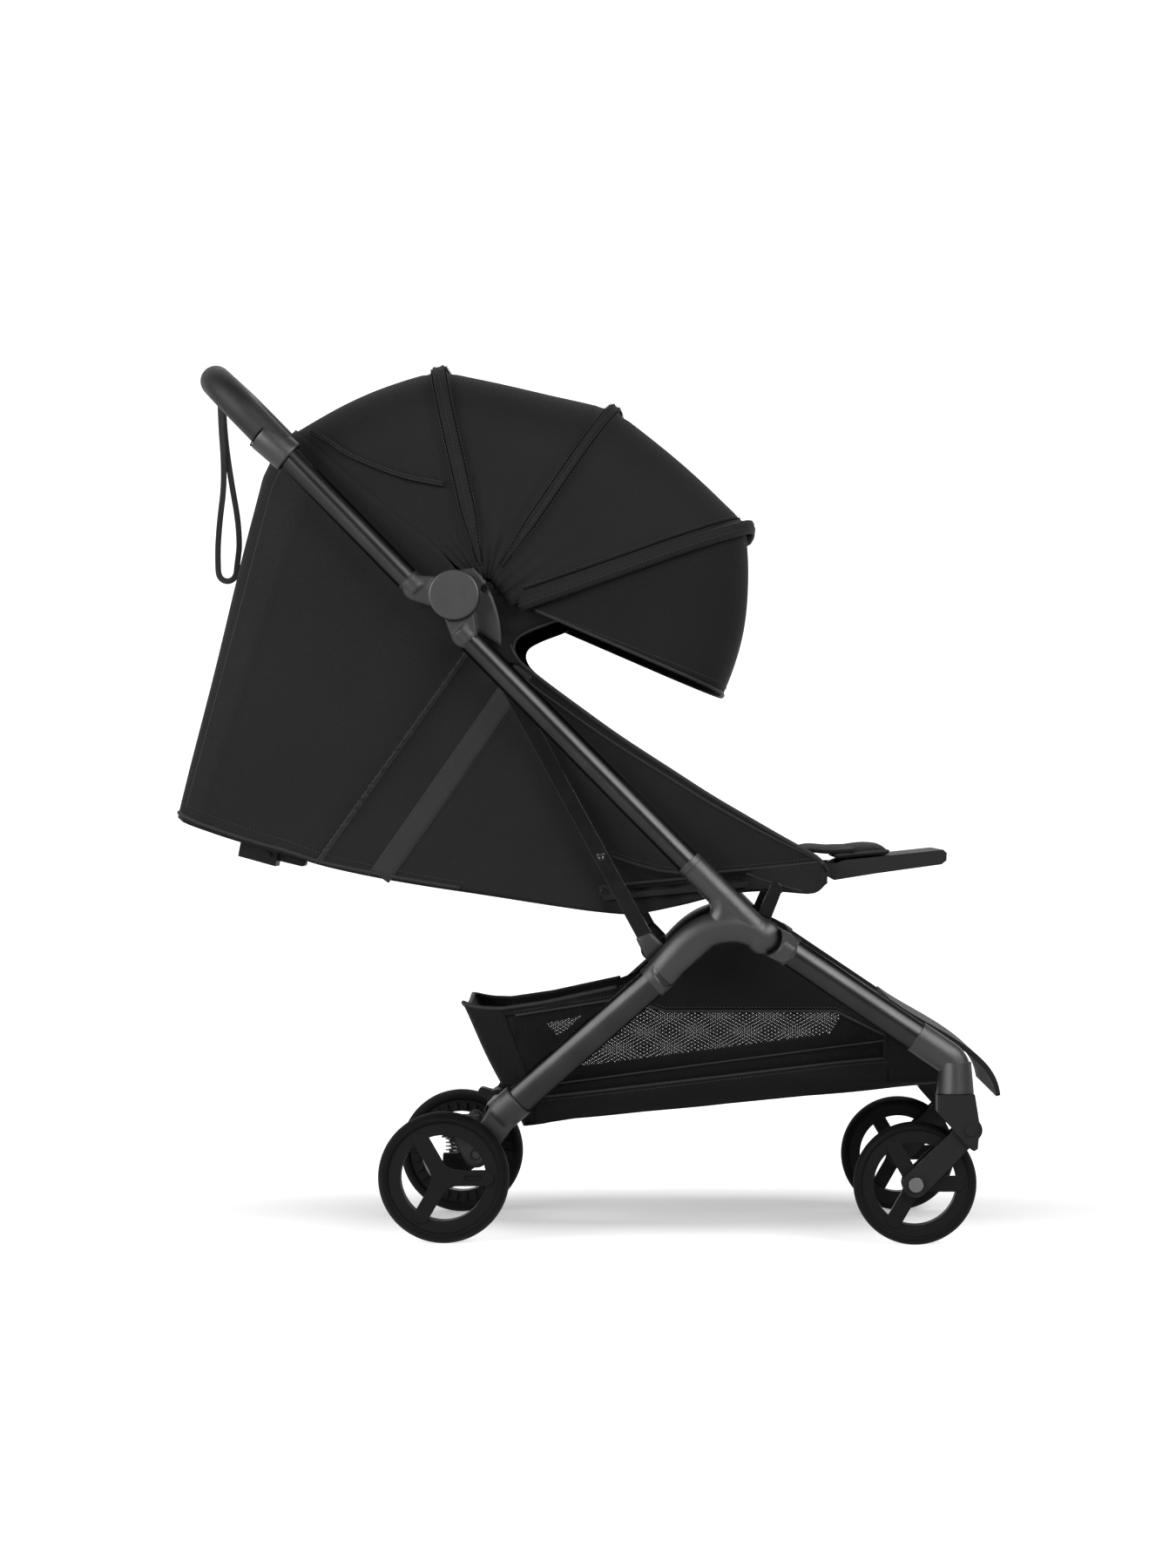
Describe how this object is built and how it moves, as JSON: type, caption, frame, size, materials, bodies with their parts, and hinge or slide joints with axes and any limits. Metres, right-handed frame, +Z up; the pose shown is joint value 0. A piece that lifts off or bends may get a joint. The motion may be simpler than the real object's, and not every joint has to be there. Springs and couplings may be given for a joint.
{
  "type": "baby stroller",
  "caption": "Compact folding pushchair with side tube frame, U grip, folding hood with visor, reclining fabric seat, footrest, mesh basket, sprung casters and rear axle.",
  "frame": {"origin": "middle of the bounding box on the floor", "axes": "+X towards the front, +Y to the rider's left, +Z up"},
  "size_m": [0.9586, 0.4444, 1.0178],
  "materials": {
    "frame_tube": "satin black powder coat on aluminium tube",
    "housing_plastic": "fine-grained black moulding",
    "grip": "stitched black leatherette",
    "cloth": "black plain-weave polyester",
    "mesh": "black open knitted mesh",
    "webbing": "black woven webbing",
    "tyre": "matte black solid foam tyre",
    "wheel_plastic": "satin black moulding",
    "steel": "dark plated steel"
  },
  "bodies": {
    "chassis": {"upper_tubes": "frame_tube", "knuckles_lower": "housing_plastic", "y_joints": "housing_plastic", "rear_leg_tubes": "frame_tube", "rear_hubs": "housing_plastic", "rear_crossbar": "frame_tube", "seat_stays": "frame_tube", "pivot_pins": "steel", "rear_hoop": "steel", "seat_pan": "housing_plastic", "seat_cushion": "cloth", "side_panels": "cloth", "back_panel": "cloth", "basket_rear": "mesh", "basket_front": "mesh", "harness_buckle": "housing_plastic", "rear_springs": "steel"},
    "handle": {"handle_tubes": "frame_tube", "handle_grip": "grip", "knuckles_upper": "housing_plastic", "shoulder_caps": "housing_plastic", "wrist_strap": "webbing"},
    "fold_button": {"fold_button": "housing_plastic"},
    "buckle_button": {"buckle_button": "housing_plastic"},
    "front_legs": {"front_leg_tubes": "frame_tube", "front_leg_brackets": "housing_plastic", "front_elbows": "housing_plastic", "footplate": "housing_plastic"},
    "rear_beam": {"rear_axle_beam": "steel"},
    "brake_pedal": {"brake_pedal": "housing_plastic"},
    "backrest": {"backrest_board": "housing_plastic", "backrest_pad": "cloth", "shoulder_straps": "webbing", "recline_clip": "housing_plastic"},
    "recline_lever": {"recline_lever": "housing_plastic"},
    "footrest": {"footrest_frame": "housing_plastic", "footrest_pad": "cloth"},
    "bow_rear": {"bow_rear": "housing_plastic", "canopy_rear": "cloth"},
    "bow_middle": {"bow_middle": "housing_plastic", "canopy_middle": "cloth"},
    "bow_front": {"bow_front": "housing_plastic", "canopy_front": "cloth"},
    "visor": {"sun_visor": "cloth"},
    "caster_right": {"caster_housing_right": "housing_plastic", "caster_spring_right": "steel"},
    "arm_right": {"swing_arm_right": "housing_plastic", "front_axle_right": "steel"},
    "front_wheel_right": {"front_tyre_right": "tyre", "front_wheel_right": "wheel_plastic"},
    "rear_wheel_right": {"rear_tyre_right": "tyre", "rear_wheel_right": "wheel_plastic"},
    "caster_left": {"caster_housing_left": "housing_plastic", "caster_spring_left": "steel"},
    "arm_left": {"swing_arm_left": "housing_plastic", "front_axle_left": "steel"},
    "front_wheel_left": {"front_tyre_left": "tyre", "front_wheel_left": "wheel_plastic"},
    "rear_wheel_left": {"rear_tyre_left": "tyre", "rear_wheel_left": "wheel_plastic"}
  },
  "joints": [
    {"name": "front_leg_fold", "type": "hinge", "parent": "chassis", "child": "front_legs", "pos_m": [0.2037, 0, 0.3547], "axis": [0, 1, 0], "range_deg": [0, 70], "deforming": ["basket_front"]},
    {"name": "handle_fold", "type": "hinge", "parent": "chassis", "child": "handle", "pos_m": [-0.1508, 0, 0.7471], "axis": [0, 1, 0], "range_deg": [0, 165.2], "deforming": ["wrist_strap"]},
    {"name": "fold_button_press", "type": "slide", "parent": "handle", "child": "fold_button", "axis": [0, 0, 1], "range_m": [0, 0.004], "stiffness_N_per_m": 400, "springref_m": -0.003},
    {"name": "buckle_button_press", "type": "slide", "parent": "chassis", "child": "buckle_button", "axis": [-0.829, 0, -0.5593], "range_m": [0, 0.0022], "stiffness_N_per_m": 400, "springref_m": -0.003},
    {"name": "rear_suspension", "type": "hinge", "parent": "chassis", "child": "rear_beam", "pos_m": [-0.128, 0, 0.1], "axis": [0, 1, 0], "range_deg": [0, 5], "stiffness_Nm_per_rad": 40, "springref_deg": -8.02, "deforming": ["rear_springs"]},
    {"name": "brake_pedal_press", "type": "hinge", "parent": "chassis", "child": "brake_pedal", "pos_m": [-0.112, 0.06, 0.15], "axis": [0, -1, 0], "range_deg": [0, 18]},
    {"name": "recline", "type": "hinge", "parent": "chassis", "child": "backrest", "pos_m": [0.02, 0, 0.404], "axis": [0, 1, 0], "range_deg": [0, 50]},
    {"name": "recline_lever_squeeze", "type": "hinge", "parent": "backrest", "child": "recline_lever", "pos_m": [-0.38289, 0, 0.44701], "axis": [0, -1, 0], "range_deg": [0, 9], "stiffness_Nm_per_rad": 0.4, "springref_deg": -5.73},
    {"name": "footrest_tilt", "type": "hinge", "parent": "chassis", "child": "footrest", "pos_m": [0.276, 0, 0.43], "axis": [0, 1, 0], "range_deg": [0, 60]},
    {"name": "canopy_fold", "type": "hinge", "parent": "chassis", "child": "bow_rear", "pos_m": [-0.1164, 0, 0.7562], "axis": [0, -1, 0], "range_deg": [0, 18], "deforming": ["canopy_rear"]},
    {"name": "canopy_middle_fold", "type": "hinge", "parent": "bow_rear", "child": "bow_middle", "pos_m": [-0.1164, 0, 0.7562], "axis": [0, -1, 0], "range_deg": [0, 37.1], "deforming": ["canopy_middle"]},
    {"name": "canopy_front_fold", "type": "hinge", "parent": "bow_middle", "child": "bow_front", "pos_m": [-0.1164, 0, 0.7562], "axis": [0, -1, 0], "range_deg": [0, 31.1], "deforming": ["canopy_front"]},
    {"name": "visor_flip", "type": "hinge", "parent": "bow_front", "child": "visor", "pos_m": [-0.1164, 0, 0.7562], "axis": [0, -1, 0], "range_deg": [0, 30], "deforming": ["sun_visor"]},
    {"name": "caster_swivel_right", "type": "hinge", "parent": "front_legs", "child": "caster_right", "pos_m": [0.4252, -0.195, 0.1743], "axis": [0, 0, 1], "continuous": true},
    {"name": "front_suspension_right", "type": "hinge", "parent": "caster_right", "child": "arm_right", "pos_m": [0.4417, -0.195, 0.1334], "axis": [0, 1, 0], "range_deg": [0, 5], "stiffness_Nm_per_rad": 10, "springref_deg": -17.19, "deforming": ["caster_spring_right"]},
    {"name": "front_wheel_spin_right", "type": "hinge", "parent": "arm_right", "child": "front_wheel_right", "pos_m": [0.3788, -0.195, 0.071], "axis": [0, 1, 0], "continuous": true},
    {"name": "rear_wheel_spin_right", "type": "hinge", "parent": "rear_beam", "child": "rear_wheel_right", "pos_m": [-0.1643, -0.178, 0.076], "axis": [0, 1, 0], "continuous": true},
    {"name": "caster_swivel_left", "type": "hinge", "parent": "front_legs", "child": "caster_left", "pos_m": [0.4252, 0.195, 0.1743], "axis": [0, 0, 1], "continuous": true},
    {"name": "front_suspension_left", "type": "hinge", "parent": "caster_left", "child": "arm_left", "pos_m": [0.4417, 0.195, 0.1334], "axis": [0, 1, 0], "range_deg": [0, 5], "stiffness_Nm_per_rad": 10, "springref_deg": -17.19, "deforming": ["caster_spring_left"]},
    {"name": "front_wheel_spin_left", "type": "hinge", "parent": "arm_left", "child": "front_wheel_left", "pos_m": [0.3788, 0.195, 0.071], "axis": [0, 1, 0], "continuous": true},
    {"name": "rear_wheel_spin_left", "type": "hinge", "parent": "rear_beam", "child": "rear_wheel_left", "pos_m": [-0.1643, 0.178, 0.076], "axis": [0, 1, 0], "continuous": true}
  ],
  "couplings": [
    {"joint": "handle_fold", "follows": "front_leg_fold", "ratio": 2.357},
    {"joint": "canopy_middle_fold", "follows": "canopy_fold", "ratio": 2.0556},
    {"joint": "canopy_front_fold", "follows": "canopy_fold", "ratio": 1.7222}
  ]
}
